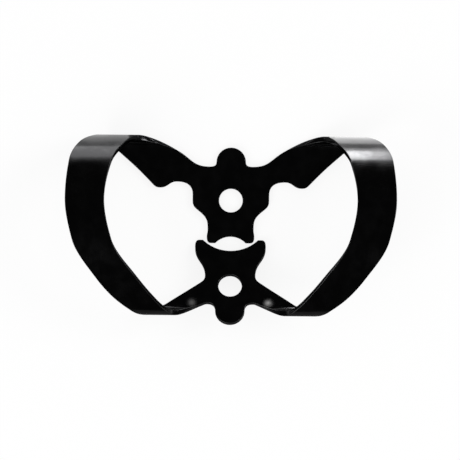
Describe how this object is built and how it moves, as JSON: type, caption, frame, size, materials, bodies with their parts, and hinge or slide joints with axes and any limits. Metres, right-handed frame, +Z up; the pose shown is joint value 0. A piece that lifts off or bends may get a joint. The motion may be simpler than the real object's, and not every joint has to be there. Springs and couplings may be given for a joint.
{
  "type": "rubber dam clamp",
  "caption": "Wingless two-bow rubber dam clamp for front teeth: folded spring-steel ring with pronged jaws, forceps holes and tall side bows.",
  "frame": {"origin": "middle of the footprint, on the plane the flat rear jaw lies on", "axes": "+X across the two bows, +Y from the front jaw towards the rear jaw, +Z up towards the bows"},
  "size_m": [0.0336, 0.0193, 0.0096],
  "materials": {
    "steel": "gloss black over spring steel"
  },
  "bodies": {
    "root": {"clamp": "steel"}
  },
  "joints": []
}
